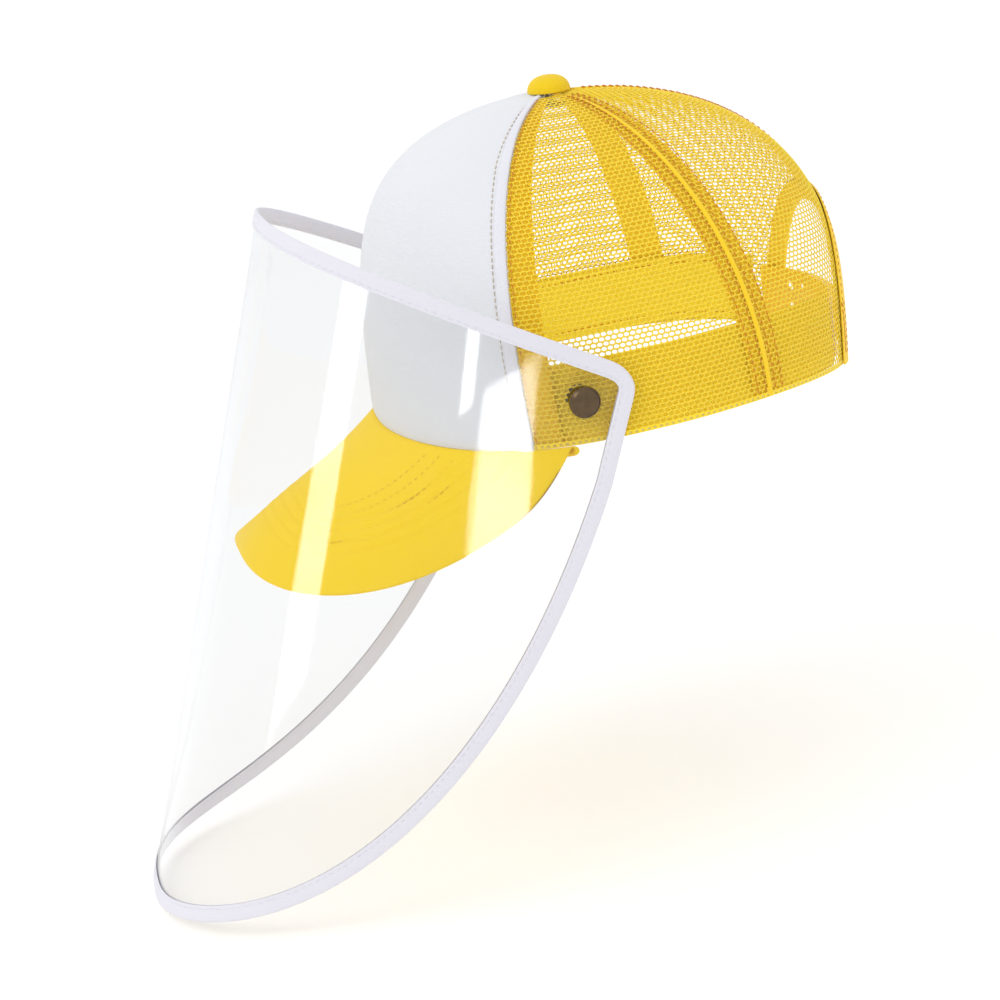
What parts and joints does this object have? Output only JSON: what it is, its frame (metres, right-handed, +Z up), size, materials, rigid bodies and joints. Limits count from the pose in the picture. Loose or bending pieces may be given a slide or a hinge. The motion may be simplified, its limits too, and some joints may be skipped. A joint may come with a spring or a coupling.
{
  "type": "mesh-back cap with clear face shield",
  "caption": "Foam-front, mesh-back peaked cap with a clear film face shield that hinges on two press snaps at the temples.",
  "frame": {"origin": "middle of the head opening, in the plane of the cap's lower edge", "axes": "-Y forward over the visor, +X to the wearer's left, +Z up through the crown"},
  "size_m": [0.1772, 0.3231, 0.3152],
  "materials": {
    "foam_face": "white knit laminated to foam",
    "lining": "thin white lining",
    "edge_strip": "white strip with a tan topstitch",
    "mesh": "open polyester net, golden yellow",
    "seam_tape": "woven tape, golden yellow",
    "sweatband": "plain weave, golden yellow",
    "visor_cloth": "twill, lemon yellow",
    "visor_board": "moulded board",
    "button_cloth": "cloth-covered",
    "tin": "tinned steel",
    "strap": "moulded soft plastic",
    "film": "clear film",
    "film_binding": "white woven binding tape",
    "snap_metal": "dark antique brass"
  },
  "bodies": {
    "cap": {"front_foam": "foam_face", "front_lining": "lining", "front_strip_left": "edge_strip", "front_strip_right": "edge_strip", "side_mesh_left": "mesh", "side_mesh_right": "mesh", "back_mesh_left": "mesh", "back_mesh_right": "mesh", "seam_tape_front_left": "seam_tape", "seam_tape_front_right": "seam_tape", "seam_tape_side_left": "seam_tape", "seam_tape_side_right": "seam_tape", "seam_tape_back": "seam_tape", "sweatband": "sweatband", "visor_top_cover": "visor_cloth", "visor_board": "visor_board", "visor_under_cover": "visor_cloth", "crown_button": "button_cloth", "button_core": "tin", "button_rivet": "tin", "button_washer": "tin", "arch_binding": "seam_tape", "snap_post_left": "tin", "snap_post_right": "tin", "snap_stud_left": "snap_metal", "snap_stud_right": "snap_metal"},
    "shield": {"shield_film": "film", "shield_binding": "film_binding", "snap_socket_left": "snap_metal", "snap_socket_right": "snap_metal", "snap_cap_left": "snap_metal", "snap_cap_right": "snap_metal"},
    "peg_strap": {"peg_strap": "strap"},
    "hole_strap": {"hole_strap": "strap"}
  },
  "joints": [
    {"name": "shield_tilt", "type": "hinge", "parent": "cap", "child": "shield", "pos_m": [0, -0.032, 0.0165], "axis": [-1, 0, 0], "range_deg": [0, 60]},
    {"name": "hole_strap_open", "type": "hinge", "parent": "cap", "child": "hole_strap", "pos_m": [-0.03204, 0.09089, 0.015], "axis": [0, 0, 1], "range_deg": [0, 30], "stiffness_Nm_per_rad": 0.01},
    {"name": "peg_strap_open", "type": "hinge", "parent": "cap", "child": "peg_strap", "pos_m": [0.04245, 0.08409, 0.015], "axis": [0, 0, 1], "range_deg": [0, 20], "stiffness_Nm_per_rad": 0.01}
  ]
}
